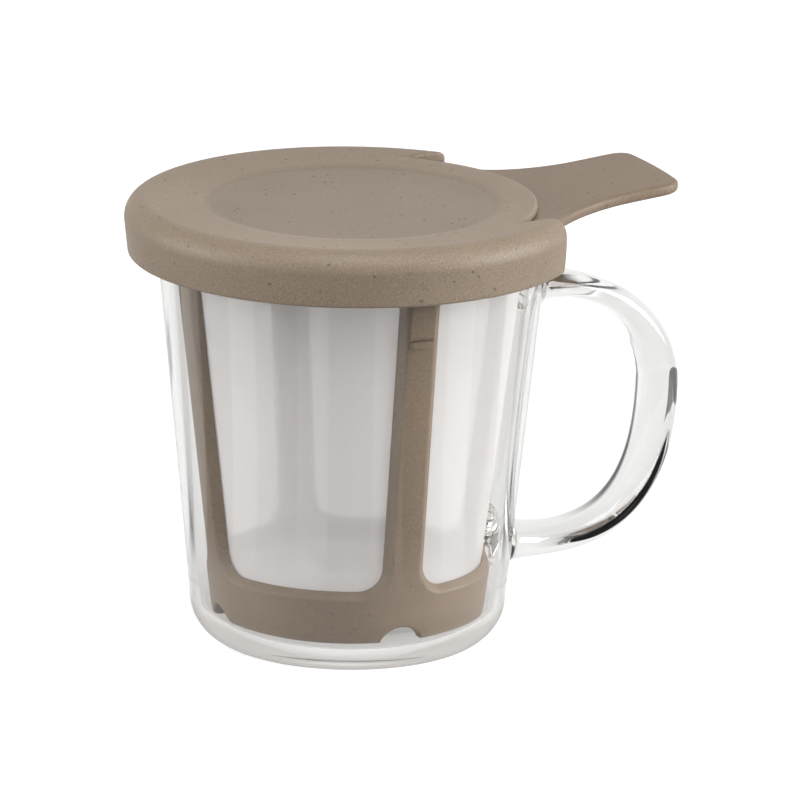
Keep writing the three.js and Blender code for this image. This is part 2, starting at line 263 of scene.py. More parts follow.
def addParts(tree, vector):
    # a vector's X, Y and Z
    node = tree.nodes.new("ShaderNodeSeparateXYZ")
    feed(tree, node, {"Vector": vector})
    return [node.outputs[axis] for axis in "XYZ"]


def fromAxis(tree, vector):
    # how far a place is from the Z axis
    x, y, _ = addParts(tree, vector)
    return addMath(tree, "SQRT", addMath(tree, "MULTIPLY_ADD", x, x, product(tree, y, y)))


def addRange(tree, value, low, high, toLow=0.0, toHigh=1.0, smooth=True):
    # carries a value between low and high over to another range, eased at both ends if smooth
    node = tree.nodes.new("ShaderNodeMapRange")
    node.interpolation_type = "SMOOTHSTEP" if smooth else "LINEAR"
    feed(tree, node, {"Value": value, "From Min": low, "From Max": high, "To Min": toLow, "To Max": toHigh})
    return node.outputs["Result"]


def newGroup(name, inputs, outputs):
    # an empty node group with named inputs, their usual values, and named outputs
    group = bpy.data.node_groups.new(name, "ShaderNodeTree")
    for label, kind, value in inputs:
        socket = group.interface.new_socket(label, in_out="INPUT", socket_type=kind)
        if value is not None:
            socket.default_value = value
    for label, kind in outputs:
        group.interface.new_socket(label, in_out="OUTPUT", socket_type=kind)
    return group, group.nodes.new("NodeGroupInput"), group.nodes.new("NodeGroupOutput")


# Moulding compound of the strainer and the lid: scales are cells or waves to the metre
compound = {
    "clouds": (45.0, 3.0),  # scale and detail
    "cloudRange": (0.3, 0.7),
    "cloudShare": 0.16,  # how dark the clouds get
    "grain": (2300.0, 2.0),
    "paleGrain": (0.52, 0.72),
    "darkGrain": (0.48, 0.3),
    "darkShare": 0.6,
    "fleckScale": 1700.0,
    "fleckSize": (0.3, 0.12),
    "fleckChance": (0.66, 0.7),  # cells below the first have none, and above the second they all do
    "fleckShare": 0.55,
    "pitScale": 680.0,
    "pitSize": (0.12, 0.3),
    "pitSide": 0.07,
    "pitChance": (0.84, 0.86),
    "pitShare": 0.75,
    "roughness": 0.46,
    "grainRoughness": 0.16,
    "pitRoughness": 0.2,
    "grainHeight": 0.25,
    "depth": 0.00008,  # metres that a pit goes down
    "ior": 1.5,
}


def makeSpeckle():
    # a moulding compound with fibre filler: cloudy tone, fine pale and dark grain, and scattered pits
    group, given, made = newGroup("speckledCompound", [
        ("Vector", "NodeSocketVector", None),
        ("Base", "NodeSocketColor", (0.3, 0.3, 0.3, 1)),
        ("Pale", "NodeSocketColor", (0.5, 0.5, 0.5, 1)),
        ("Dark", "NodeSocketColor", (0.1, 0.1, 0.1, 1)),
        ("Grain", "NodeSocketFloat", 0.5),
        ("Pits", "NodeSocketFloat", 1.0),
    ], [("Color", "NodeSocketColor"), ("Height", "NodeSocketFloat"), ("Roughness", "NodeSocketFloat")])

    def noise(scale, detail):
        node = group.nodes.new("ShaderNodeTexNoise")
        feed(group, node, {"Vector": given.outputs["Vector"], "Scale": scale, "Detail": detail})
        return node.outputs["Fac"]

    def cells(scale):
        node = group.nodes.new("ShaderNodeTexVoronoi")
        feed(group, node, {"Vector": given.outputs["Vector"], "Scale": scale})
        parts = group.nodes.new("ShaderNodeSeparateColor")
        feed(group, parts, {"Color": node.outputs["Color"]})
        return node.outputs["Distance"], parts.outputs

    cloud = addRange(group, noise(*compound["clouds"]), *compound["cloudRange"], 0.0, compound["cloudShare"])
    grain = noise(*compound["grain"])
    fleckDistance, fleckChance = cells(compound["fleckScale"])
    pitDistance, pitChance = cells(compound["pitScale"])
    pitSize = addRange(group, pitChance["Green"], 0.0, 1.0, *compound["pitSize"], smooth=False)
    pitEdge = addMath(group, "SUBTRACT", pitSize, pitDistance)
    pit = product(group, addRange(group, pitEdge, 0.0, compound["pitSide"]),
                  addRange(group, pitChance["Red"], *compound["pitChance"]), given.outputs["Pits"])
    fleck = product(group, addRange(group, fleckDistance, *compound["fleckSize"]),
                    addRange(group, fleckChance["Red"], *compound["fleckChance"]), given.outputs["Grain"])
    pale, dark = (product(group, addRange(group, grain, *compound[key]), given.outputs["Grain"])
                  for key in ("paleGrain", "darkGrain"))
    colour = addMix(group, cloud, given.outputs["Base"], given.outputs["Dark"])
    colour = addMix(group, pale, colour, given.outputs["Pale"])
    for mask, share in ((dark, "darkShare"), (fleck, "fleckShare"), (pit, "pitShare")):
        colour = addMix(group, product(group, mask, compound[share]), colour, given.outputs["Dark"])
    height = addMath(group, "MULTIPLY_ADD", grain, compound["grainHeight"], product(group, pit, -1.0))
    rough = addMath(group, "MULTIPLY_ADD", pit, compound["pitRoughness"], compound["roughness"])
    rough = addMath(group, "MULTIPLY_ADD", grain, compound["grainRoughness"], rough)
    feed(group, made, {"Color": colour, "Height": height, "Roughness": rough})
    return group


speckledCompound = makeSpeckle()


def makePlastic(name, look):
    # the speckled compound with one piece's own colours, grain and pits
    material, tree, shader, _ = newTree(name)
    place = tree.nodes.new("ShaderNodeTexCoord").outputs["Object"]
    speckle = tree.nodes.new("ShaderNodeGroup")
    speckle.node_tree = speckledCompound
    feed(tree, speckle, {"Vector": place, "Base": look["base"], "Pale": look["pale"], "Dark": look["dark"],
                         "Grain": look["grain"], "Pits": look["pits"]})
    colour = speckle.outputs["Color"]
    if "dishTone" in look:
        # the dish is made a little darker than the ring round it, with a soft change at its edge
        tone = addRange(tree, fromAxis(tree, place), *look["dishEdge"], look["dishTone"], 1.0)
        colour = addMix(tree, tone, (0, 0, 0, 1), colour)
    feed(tree, shader, {"Base Color": colour, "Roughness": speckle.outputs["Roughness"],
                        "IOR": compound["ior"]})
    addBump(tree, shader, speckle.outputs["Height"], look["bump"], compound["depth"])
    material.diffuse_color = look["base"]
    return material


# Glass cup and handle, fused as one blown and welded piece
mug = {
    "height": 93.6,
    "mouthRadius": 42.9,  # of the outside at the rim
    "footRadius": 33.5,  # where the straight side would meet the table
    "heelRadius": 10.2,
    "rimWall": 1.4,
    "footWall": 2.1,
    "floor": 4.0,
    "punt": 1.1,  # hollow under the floor
    "puntRadius": 22.8,
    "puntSlope": 7,  # how far its side runs inwards
    "puntBend": 9,
    "puntEdge": 2.5,
    "columns": 192,
    "reach": 73.05,  # from the axis to the middle of the rod
    "top": 76.4,  # height of the upper weld
    "bottom": 18.9,  # height of the lower weld
    "belly": 52.8,  # height where the rod is furthest out
    "rodWidth": 11.5,
    "upperArm": 4.7,
    "lowerArm": 6.8,
    "bellyThickness": 8.8,
    "weldWidth": 17.0,
    "weldThickness": 9.5,
    "weldLength": 6.0,  # how far the rod still flares
    "squareness": 2.3,  # 2 makes the rod's section an ellipse, and more fills its corners
    "fillet": 2.8,  # where the melted rod runs into the wall
    "upperPull": 1.0,
    "lowerPull": 0.22,
    "lowerSag": 1.26,
    "rodSides": 40,
    "rodSteps": 120,
    "ior": 1.47,
    "tint": (0.93, 0.928, 0.918, 1),
    "heel": (0.011, 0.015),  # metres: rays may turn less often below than above
    "turns": (3.5, 6.5),
    "leaving": (0.8, 0.78, 0.755, 1),  # the tone that they leave with
    "shade": (0.97, 0.972, 0.966, 1),  # what the glass lets a lamp through
}


def cupOuter(height):
    # the outside's radius at a height: a straight taper from the foot to the mouth
    return mug["footRadius"] + (mug["mouthRadius"] - mug["footRadius"]) / mug["height"] * height


def cupInner(height):
    # the inside's radius at a height: the outside less a wall that thins towards the rim
    wall = mug["footWall"] + (mug["rimWall"] - mug["footWall"]) / mug["height"] * height
    return cupOuter(height) - wall


def cupPart():
    # a profile from the middle of the foot, out and up the side, over the rim and down to the floor
    heel = mug["heelRadius"] - (mug["footWall"] + mug["floor"]) / 2
    rim = mug["rimWall"] / 2 - 0.01
    profile = filletPath([
        (0, mug["punt"], 0),
        (mug["puntRadius"] - mug["puntSlope"], mug["punt"], mug["puntBend"]),
        (mug["puntRadius"], 0, mug["puntEdge"]),
        (mug["footRadius"], 0, mug["heelRadius"]),
        (cupOuter(mug["height"]), mug["height"], rim),
        (cupInner(mug["height"]), mug["height"], rim),
        (cupInner(mug["floor"]), mug["floor"], heel),
        (0, mug["floor"], 0),
    ], 5.0, 2.5)
    return turnedPart(profile, mug["columns"])


def bezier(corners, share):
    # a cubic Bezier curve through the first and last of its four control points
    share = share[:, None]
    return ((1 - share) ** 3 * corners[0] + 3 * (1 - share) ** 2 * share * corners[1]
            + 3 * (1 - share) * share ** 2 * corners[2] + share ** 3 * corners[3])


def rodPath():
    # two Bezier arcs in the plane of the handle, divided by their length and finely near the welds
    topRadius, bottomRadius = cupInner(mug["top"]), cupInner(mug["bottom"])
    belly = (mug["reach"], mug["belly"])
    share = np.linspace(0, 1, 400)
    upper = bezier(np.array([
        (topRadius, mug["top"]),
        (topRadius + mug["upperPull"] * (mug["reach"] - topRadius), mug["top"]),
        belly,
        belly,
    ]), share)
    lower = bezier(np.array([
        belly,
        (mug["reach"], mug["belly"] - mug["lowerSag"] * (mug["belly"] - mug["bottom"])),
        (bottomRadius + mug["lowerPull"] * (mug["reach"] - bottomRadius), mug["bottom"]),
        (bottomRadius, mug["bottom"]),
    ]), share)
    path = np.vstack([upper, lower[1:]])
    length = lengthTo(path)
    close = mug["footWall"] + 2 * mug["fillet"]
    ends = np.linspace(0, close, 30)
    middle = np.linspace(close, length[-1] - close, mug["rodSteps"])
    along = np.concatenate([ends[:-1], middle, length[-1] - ends[-2::-1]])
    return np.stack([np.interp(along, length, path[:, i]) for i in range(2)], -1), along


def handlePart():
    # flattened rings carried along the path, wider and thicker near the two welds, where they swell into
    # the wall by a quarter circle, and the first and last ring lie inside it
    path, along = rodPath()
    outward = leftOf(path, along)
    share = along / along[-1]
    fromWeld = np.maximum(np.minimum(along, along[-1] - along) - mug["footWall"], 0)
    flare = np.exp(-fromWeld / mug["weldLength"])
    arm = mug["upperArm"] + (mug["lowerArm"] - mug["upperArm"]) * share
    thickness = arm + (mug["bellyThickness"] - arm) * np.sin(np.pi * share) ** 3
    thickness = thickness + (mug["weldThickness"] - thickness) * flare
    width = mug["rodWidth"] + (mug["weldWidth"] - mug["rodWidth"]) * flare
    angle = np.arange(mug["rodSides"]) * 2 * math.pi / mug["rodSides"]
    power = mug["squareness"]
    rounding = (np.abs(np.cos(angle)) ** power + np.abs(np.sin(angle)) ** power) ** (-1 / power)
    side = np.outer(width / 2, np.cos(angle) * rounding)
    lift = np.outer(thickness / 2, np.sin(angle) * rounding)
    radius = mug["fillet"]
    away = np.hypot(path[:, :1], side) - cupOuter(path[:, 1:] + lift * outward[:, 1:])
    rest = np.clip(radius - away, 0, radius)
    swell = 1 + (radius - np.sqrt(radius ** 2 - rest ** 2)) / np.hypot(side, lift)
    side, lift = side * swell, lift * swell
    x = path[:, :1] + lift * outward[:, :1]
    z = path[:, 1:] + lift * outward[:, 1:]
    for ring in (0, -1):
        middle = (cupOuter(z[ring]) + cupInner(z[ring])) / 2
        x[ring] = np.sqrt(middle ** 2 - side[ring] ** 2)
    inner = z[1:-1]
    limit = (cupOuter(inner) + cupInner(inner)) / 2 + 0.1
    inWall = x[1:-1] < np.sqrt(limit ** 2 - side[1:-1] ** 2)
    kept = np.append(np.append(True, ~inWall.any(1)), True)
    grid = np.stack([x, side, z], -1)[kept]
    start, end = grid[0].mean(0), grid[-1].mean(0)
    start[0] = (cupOuter(start[2]) + cupInner(start[2])) / 2
    end[0] = (cupOuter(end[2]) + cupInner(end[2])) / 2
    caps = [np.broadcast_to(start, grid[:1].shape), grid, np.broadcast_to(end, grid[:1].shape)]
    return gridPart(np.vstack(caps), True)


def fuse(piece, other):
    # joins a second closed mesh to the first one with no wall left between them
    joining = piece.modifiers.new("weld", "BOOLEAN")
    joining.operation = "UNION"
    joining.solver = "EXACT"
    joining.object = other
    bpy.context.view_layer.update()
    fused = piece.evaluated_get(bpy.context.evaluated_depsgraph_get())
    mesh = bpy.data.meshes.new_from_object(fused)
    piece.modifiers.remove(joining)
    piece.data = mesh
    bpy.data.objects.remove(other)
    mesh.shade_smooth()
    mesh.set_sharp_from_angle(angle=math.radians(70))


def makeGlass():
    # clear glass that lets the lamps' light through to what stands inside and behind it
    material, tree, shader, output = newTree("clearGlass")
    feed(tree, shader, {"Base Color": mug["tint"], "Roughness": 0.0, "IOR": mug["ior"],
                        "Transmission Weight": 1.0})
    path = tree.nodes.new("ShaderNodeLightPath").outputs
    place = tree.nodes.new("ShaderNodeTexCoord").outputs["Object"]
    leave, clear = (tree.nodes.new("ShaderNodeBsdfTransparent") for _ in range(2))
    feed(tree, leave, {"Color": mug["leaving"]})
    feed(tree, clear, {"Color": mug["shade"]})
    # rays that have turned often inside the thick base leave it instead of ending black
    most = addRange(tree, addParts(tree, place)[2], *mug["heel"], *mug["turns"])
    turned = addMath(tree, "GREATER_THAN", path["Ray Depth"], most)
    deep = addShaders(tree, turned, shader, leave)
    mix = addShaders(tree, path["Is Shadow Ray"], deep, clear)
    feed(tree, output, {"Surface": mix.outputs["Shader"]})
    return material


glassMug = makePiece("glass_mug", [cupPart()])
glassRod = makePiece("glass_rod", [handlePart()])
fuse(glassMug, glassRod)
finishPiece(glassMug, "mug", "glass", makeGlass(), "glass_cup", "glass_handle")
print("glass made")

# Strainer frame: one moulding with four windows, a floor ring, a flange and a flat handle
strainer = {
    "foot": 6.7,  # heights are above the table
    "footRadius": 29.708,
    "rimHeight": 93.6,
    "rimRadius": 40.3,
    "wall": 2.8,
    "floorUnder": 13.2,
    "floorTop": 15.4,
    "floorOpening": 24.37,
    "floorSeat": 14.4,  # where the floor's mesh lies
    "floorLap": 1.3,
    "floorFold": 1.2,  # how far above the floor the inner face ends
    "underFold": 0.8,  # how far under the floor the foot's inner face starts
    "windowBottom": 19.0,
    "windowTop": 87.8,
    "windowCorner": 5.0,
    "windowBevel": 1.55,
    "ribFace": 6.3,
    "meshSeat": 1.85,  # behind the outer face
    "pocketLap": 1.3,
    "crest": 0.42,  # softness of the bevel's outer edge
    "ledge": 0.25,  # and of its inner edge
    "pocketBevel": 0.15,
    "innerBevel": 0.2,
    "drainRadius": 4.75,
    "drainCentre": 5.7,
    "edge": 0.7,
    "innerEdge": 0.4,
    "markBottom": 75.0,
    "markTop": 76.6,
    "markWidth": 5.1,
    "markProud": 0.9,
    "ribProud": 0.5,
    "ribSlope": (0, 0.42),  # each slope: how far outside the edge it starts, and its run
    "ribEnd": (0.03, 0.12),
    "markSide": (0.12, 0.25),
    "markEnd": (0.06, 0.15),
    "proudDepth": 0.9,  # only what lies within this of the outer face is raised
    "proudGap": 0.7,  # under the flange
    "flangeBottom": 93.9,
    "flangeTop": 96.4,
    "flangeRadius": 45.1,
    "flangeEdge": 0.9,
    "flangeFold": 0.6,  # radius of the fold where the basket meets the flange
    "tabReach": 72.1,
    "tabWidth": 30.9,
    "tabStraight": 59.7,
    "tabCorner": 4.2,
    "tabBulge": 0.4,
    "tabRise": 3.58,
    "tabStart": 3,  # softness of the bend where the climb starts
    "tabFade": (20, 32),  # no part of the flange climbs before the first, and all of it after the second
    # the lid's compound made darker and warmer: painted shade for the strainer standing inside the glass
    "look": {
        "base": (0.2, 0.144, 0.097, 1),
        "pale": (0.26, 0.197, 0.14, 1),
        "dark": (0.1, 0.069, 0.044, 1),
        "grain": 0.55,
        "pits": 0.7,
        "bump": 0.5,
    },
}
pitch = math.pi / 2


def basketRadius(height, depth):
    # the radius at a height and at a depth under the outer face: a straight taper from the rim to the foot
    slope = (strainer["rimRadius"] - strainer["footRadius"]) / (strainer["rimHeight"] - strainer["foot"])
    return strainer["footRadius"] + slope * (height - strainer["foot"]) - depth


cornerSteps = 16
flatSteps = 24
lintelAngles = np.radians(np.concatenate([np.arange(8, 16, 0.5), np.linspace(16, 45, 20)]))
straightHeights = np.unique(np.concatenate([
    np.linspace(24.0, 82.8, 36),
    [74.8, 74.95, 75.1, 75.25, 76.35, 76.5, 76.62, 76.8],
]))


def windowHalf(growth, depth):
    # half of a window's outline as (angle, height), from the middle of its sill past the rib to the
    # middle of its lintel: its side keeps one distance from the rib's middle plane
    corner = strainer["windowCorner"] + growth
    side = strainer["ribFace"] / 2 + strainer["windowBevel"] - growth
    low, high = strainer["windowBottom"] - growth, strainer["windowTop"] + growth

    def place(inset, height):
        radius = basketRadius(height, depth)
        return np.stack([np.arcsin(side / radius) + inset / radius, height], -1)

    turn = np.radians(np.linspace(270, 180, cornerSteps + 1))
    lowArc = place(corner + corner * np.cos(turn), low + corner + corner * np.sin(turn))
    turn = np.radians(np.linspace(180, 90, cornerSteps + 1))
    highArc = place(corner + corner * np.cos(turn), high - corner + corner * np.sin(turn))
    share = (lintelAngles - lintelAngles[0]) / (lintelAngles[-1] - lintelAngles[0])
    sill = np.linspace((pitch / 2, low), lowArc[0], flatSteps + 1)
    lintel = highArc[-1] + share[:, None] * (np.array([pitch / 2, high]) - highArc[-1])
    straight = straightHeights[1:-1]
    middle = place(np.zeros(len(straight)), straight)
    return np.vstack([sill[:-1], lowArc, middle, highArc, lintel[1:]])


def footHalf(raised, depth):
    # the foot's edge as (angle, height) from the middle of a window to the rib, over the drain's arch,
    # kept a distance above the real edge
    ring = strainer["drainRadius"] + raised
    level = strainer["foot"] + raised
    end = math.acos((level - strainer["drainCentre"]) / ring)
    turn = np.linspace(end, 0, cornerSteps // 2 + 1)
    height = strainer["drainCentre"] + ring * np.cos(turn)
    arch = np.stack([np.arcsin(ring * np.sin(turn) / basketRadius(height, depth)), height], -1)
    flat = np.linspace((pitch / 2, level), arch[0], flatSteps + 1)
    return np.vstack([flat[:-1], arch])


def sectorHalf(bottom, top):
    # the quarter's own edge, matched point for point to windowHalf
    half = cornerSteps // 2
    straight = straightHeights
    below = np.linspace(bottom[-1], (0, straight[0]), half + 1)[1:]
    above = np.linspace((0, straight[-1]), (0, top), half + 1)[:-1]
    lintel = np.stack([np.linspace(0, lintelAngles[0], half + 1), np.full(half + 1, top)], -1)
    rest = np.stack([lintelAngles[1:], np.full(len(lintelAngles) - 1, top)], -1)
    middle = np.stack([0 * straight[1:-1], straight[1:-1]], -1)
    return np.vstack([bottom, below, middle, above, lintel, rest])


def fullLoop(half):
    # a half outline and its mirror image as one closed loop, anticlockwise as seen from outside
    mirrored = half * np.array([-1, 1]) + np.array([pitch, 0])
    return np.concatenate([half[..., ::-1, :], mirrored[..., 1:-1, :]], -2)


def softCorner(before, corner, after, share):
    # a curve from one point to another that leaves and arrives along the lines to the corner
    return (1 - share) ** 2 * before + 2 * (1 - share) * share * corner + share ** 2 * after


def sectorGrid():
    # rows of loops: from the quarter's edge over the outer face, round the bevel into the window,
    # behind the mesh's seat and back over the inner face to the quarter's edge
    bevel, seat, lap, wall = (strainer[key] for key in ("windowBevel", "meshSeat", "pocketLap", "wall"))
    edge = strainer["edge"]
    fold = strainer["flangeFold"]
    outer = sectorHalf(footHalf(edge, 0), strainer["flangeBottom"] - fold)
    turn, step = strainer["crest"], strainer["ledge"]
    pocket, inward = strainer["pocketBevel"], strainer["innerBevel"]
    slant = np.array([-bevel, seat]) / np.hypot(bevel, seat)
    crest = np.array([bevel, 0.0])
    ledge = np.array([0.0, seat])
    share = np.linspace(0, 1, 5)[:, None]
    crestArc = softCorner(crest + [turn, 0], crest, crest + slant * turn, share)
    ledgeArc = softCorner(ledge - slant * step, ledge, ledge + [step, 0], share)
    profile = np.vstack([
        crestArc,
        crestArc[-1] + (ledgeArc[0] - crestArc[-1]) * np.array([[0.2], [0.5], [0.8]]),
        ledgeArc,
        [[lap - pocket, seat], [lap, seat + pocket], [lap, wall - inward], [lap + inward, wall]],
    ])
    windowRows = np.stack([windowHalf(growth, depth) for growth, depth in profile])
    outerShare = np.array([0, 0.33, 0.66, 0.84, 0.94])[:, None, None]
    outerRows = outer + outerShare * (windowRows[0] - outer)
    inner = sectorHalf(innerFoot(), strainer["rimHeight"] - fold)
    innerShare = np.array([0.06, 0.3, 0.65, 1])[:, None, None]
    innerRows = windowRows[-1] + innerShare * (inner - windowRows[-1])
    rows = np.concatenate([outerRows, windowRows, innerRows])
    depths = np.concatenate([np.zeros(len(outerRows)), profile[:, 1], np.full(len(innerRows), wall)])
    return fullLoop(rows), depths


def innerFoot():
    # the inner face's lower edge lies above the floor, with the angles of the foot's edge
    foot = footHalf(strainer["innerEdge"], strainer["wall"])
    return np.stack([foot[:, 0], np.full(len(foot), strainer["floorTop"] + strainer["floorFold"])], -1)


def onBasket(angle, height, depth):
    # the point at an angle round the basket, a height and a depth under its outer face
    return polar(basketRadius(height, depth), angle, height)


def footStrip():
    # rows of rings from the inner face down over the floor and its opening, down inside the foot,
    # round its edge and up to the outer face
    edge, innerEdge, wall = (strainer[key] for key in ("edge", "innerEdge", "wall"))
    top, under = strainer["floorTop"], strainer["floorUnder"]
    opening, seat = strainer["floorOpening"], strainer["floorSeat"]
    above, start = top + strainer["floorFold"], under - strainer["underFold"]
    angle, edgeHeight = footHalf(innerEdge, wall)[::-1].T
    section = filletPath([
        (basketRadius(above, wall), above, 0),
        (basketRadius(top, wall), top, 0.6),
        (opening + strainer["floorLap"], top, 0.15),
        (opening + strainer["floorLap"], seat, 0.0),
        (opening, seat, 0.1),
        (opening, under, 0.2),
        (basketRadius(under, wall), under, 0.5),
        (basketRadius(start, wall), start, 0),
    ], 20.0, 1.5)
    rows = [(angle, height + 0 * angle, radius + 0 * angle) for radius, height in section]
    for share in (0.33, 0.66, 1.0):
        height = start + share * (edgeHeight - start)
        rows.append((angle, height, basketRadius(height, wall)))
    turns = np.radians([30, 60, 90])
    levels = [(innerEdge * (1 - math.sin(turn)), wall - innerEdge * (1 - math.cos(turn))) for turn in turns]
    levels += [(0.0, wall / 2)]
    turns = np.radians([0, 22, 45, 67, 90])
    levels += [(edge * (1 - math.cos(turn)), edge * (1 - math.sin(turn))) for turn in turns]
    for raised, depth in levels:
        angle, height = footHalf(raised, depth)[::-1].T
        rows.append((angle, height, basketRadius(height, depth)))
    return ringGrid(*zip(*rows))


def ringGrid(angles, heights, radii):
    # half a quarter's columns, from the rib to the window's middle, mirrored and carried all round
    angle, height, radius = np.array(angles), np.array(heights), np.array(radii)
    angle = np.concatenate([angle, pitch - angle[:, -2:0:-1]], 1)
    height = np.concatenate([height, height[:, -2:0:-1]], 1)
    radius = np.concatenate([radius, radius[:, -2:0:-1]], 1)
    angle = np.concatenate([angle + pitch * i for i in range(4)], 1)
    height, radius = np.tile(height, 4), np.tile(radius, 4)
    return polar(radius, angle, height)


def tabOutline():
    # the flange's circle with the handle's sides, corners and tip as seen from above, for angles 0 to
    # half a turn, each point with its outward direction
    half = strainer["tabWidth"] / 2
    ring = strainer["flangeRadius"]
    straight = strainer["tabStraight"]
    fillet = (straight ** 2 + half ** 2 - ring ** 2) / (2 * (ring - half))
    root = math.atan2(half + fillet, straight)
    corner, bulge = strainer["tabCorner"], strainer["tabBulge"]
    tipSide = strainer["tabReach"] - bulge
    tipHalf = half - corner
    tipRadius = (tipHalf ** 2 + bulge ** 2) / (2 * bulge)
    tipAngle = math.asin(tipHalf / tipRadius)
    tip = np.linspace(0, tipAngle, 20)
    bend = np.linspace(tipAngle, pitch, 30)[1:]
    neck = np.linspace(-pitch, root - math.pi, 60)
    rim = np.linspace(root, math.pi, 200)[1:]
    line = np.vstack([
        np.stack([tipSide + bulge - tipRadius + tipRadius * np.cos(tip), tipRadius * np.sin(tip)], -1),
        np.stack([tipSide - corner + corner * np.cos(bend), half - corner + corner * np.sin(bend)], -1),
        np.stack([straight + fillet * np.cos(neck), half + fillet + fillet * np.sin(neck)], -1),
        np.stack([ring * np.cos(rim), ring * np.sin(rim)], -1),
    ])
    facing = np.concatenate([tip, bend, neck + math.pi, rim])
    facing = np.stack([np.cos(facing), np.sin(facing)], -1)
    return line, facing


def flangeOutline(angles, inset):
    # the outline's point at each polar angle, moved inwards by the inset along the outline's direction
    line, facing = tabOutline()
    polar = np.arctan2(line[:, 1], line[:, 0])
    wrapped = (angles + math.pi) % (2 * math.pi) - math.pi
    side = np.sign(wrapped) + (wrapped == 0)
    found = [np.interp(np.abs(wrapped), polar, column) for column in (*line.T, *facing.T)]
    x = found[0] - inset * found[2]
    y = found[1] - inset * found[3]
    return np.stack([x, side * y], -1)


def tabLift(x):
    # the handle climbs in a straight line from the basket's mouth, with a soft start
    run = x - strainer["rimRadius"]
    soft = (run + np.sqrt(run ** 2 + strainer["tabStart"] ** 2)) / 2
    reach = strainer["tabReach"] - strainer["rimRadius"]
    start, end = strainer["tabFade"]
    return strainer["tabRise"] * soft / reach * np.clip((x - start) / (end - start), 0, 1)


def flangeStrip():
    # rows of rings from the basket's outer face out under the flange and the handle, round their edge,
    # back over the top and down inside the mouth
    low, high, edge = strainer["flangeBottom"], strainer["flangeTop"], strainer["flangeEdge"]
    fold = strainer["flangeFold"]
    half = cornerSteps // 2
    angles = np.concatenate([np.linspace(0, lintelAngles[0], half + 1), lintelAngles[1:]])
    angles = ringGrid([angles], [0 * angles], [0 * angles + 1])[0]
    angles = np.arctan2(angles[:, 1], angles[:, 0])
    unit = np.stack([np.cos(angles), np.sin(angles)], -1)
    rows = []

    def addRow(ring, height, climbs=True):
        rows.append(np.column_stack([ring, height + climbs * tabLift(ring[:, 0])]))

    foot = basketRadius(low - fold, 0)
    addRow(unit * foot, low - fold, False)
    for turn in (30, 60, 90):
        sine, cosine = math.sin(math.radians(turn)), math.cos(math.radians(turn))
        addRow(unit * (foot + fold * (1 - cosine)), low - fold + fold * sine, turn == 90)
    inner = unit * (basketRadius(low, 0) + fold)
    rim = flangeOutline(angles, edge)
    for share in np.linspace(0, 1, 12)[1:-1]:
        addRow(inner + share * (rim - inner), low)
    for turns, centre in (((-90, 1, 18), low + edge), ((0, 91, 18), high - edge)):
        for turn in np.radians(np.arange(*turns)):
            addRow(flangeOutline(angles, edge * (1 - math.cos(turn))), centre + edge * math.sin(turn))
    mouth = basketRadius(high, strainer["wall"]) + edge
    for share in np.linspace(0, 1, 14)[1:-1]:
        addRow(rim + share * (unit * mouth - rim), high)
    for turn in range(90, 181, 15):
        sine, cosine = math.sin(math.radians(turn)), math.cos(math.radians(turn))
        addRow(unit * (mouth + edge * cosine), high - edge + edge * sine, turn == 90)
    end = strainer["rimHeight"] - fold
    addRow(unit * basketRadius(end, strainer["wall"]), end, False)
    return gridPart(np.stack(rows), True)


def slope(inside, margin, run):
    # 0 outside an edge and 1 inside it: the slope starts the margin outside the edge
    return np.clip((inside + margin) / run, 0, 1)


def raiseMark(points):
    # the fill mark on the rib that faces -Y: a bar, and the rib above it a little proud, each with its
    # edges eased over a fraction of a millimetre
    across, height = np.abs(points[:, 0]), points[:, 2]
    onRib = slope(strainer["ribFace"] / 2 - across, *strainer["ribSlope"])
    onBar = slope(strainer["markWidth"] / 2 - across, *strainer["markSide"])
    bar = (slope(height - strainer["markBottom"], *strainer["markEnd"])
           * slope(strainer["markTop"] - height, *strainer["markEnd"]))
    above = slope(height - strainer["markTop"], *strainer["ribEnd"])
    proud = np.maximum(strainer["markProud"] * onBar * bar, strainer["ribProud"] * onRib * above)
    radius = np.hypot(points[:, 0], points[:, 1])
    outer = radius > basketRadius(height, strainer["proudDepth"])
    below = height < strainer["flangeBottom"] - strainer["proudGap"]
    scale = 1 + proud * outer * below * (points[:, 1] < 0) / radius
    return points * np.column_stack([scale, scale, np.ones(len(points))])


def makeFrame():
    # four equal quarters between the foot's strip and the flange's strip
    loops, depths = sectorGrid()
    grid = onBasket(loops[..., 0], loops[..., 1], depths[:, None])
    parts = []
    for i in range(4):
        points, faces = gridPart(spin(grid, pitch * i), True)
        parts.append((raiseMark(points), faces))
    parts.append(gridPart(footStrip(), True))
    parts.append(flangeStrip())
    return makePiece("strainer_moulding", parts, 60.0)


strainerPlastic = makePlastic("strainerCompound", strainer["look"])
strainerMoulding = makeFrame()
finishPiece(strainerMoulding, "strainer", "strainer_plastic", strainerPlastic, "strainer_frame")
print("strainer made")

# Mesh behind the windows and in the floor
meshSheet = {
    "depth": 2.02,  # behind the ribs' outer faces
    "thickness": 0.4,
    "lap": 1.0,
    "floorTop": 15.1,
    "floorRadius": 25.37,
    "thread": 0.28,  # millimetres from thread to thread
    "wrap": 35.5,  # the basket's middling radius, which sets the threads' spacing round it
    "colour": (0.92, 0.902, 0.908, 1),
    "shadow": (0.88, 0.86, 0.865, 1),
    "through": 0.45,  # how much of their light the threads pass on to the far side
    "threadEdge": (0.35, 0.85),
    "cover": (0.46, 0.56),  # how much is thread, in the gaps and on the threads
    "cloudScale": 60.0,
    "bump": 0.3,
    "bumpDepth": 0.00005,
    "roughness": 0.7,
}


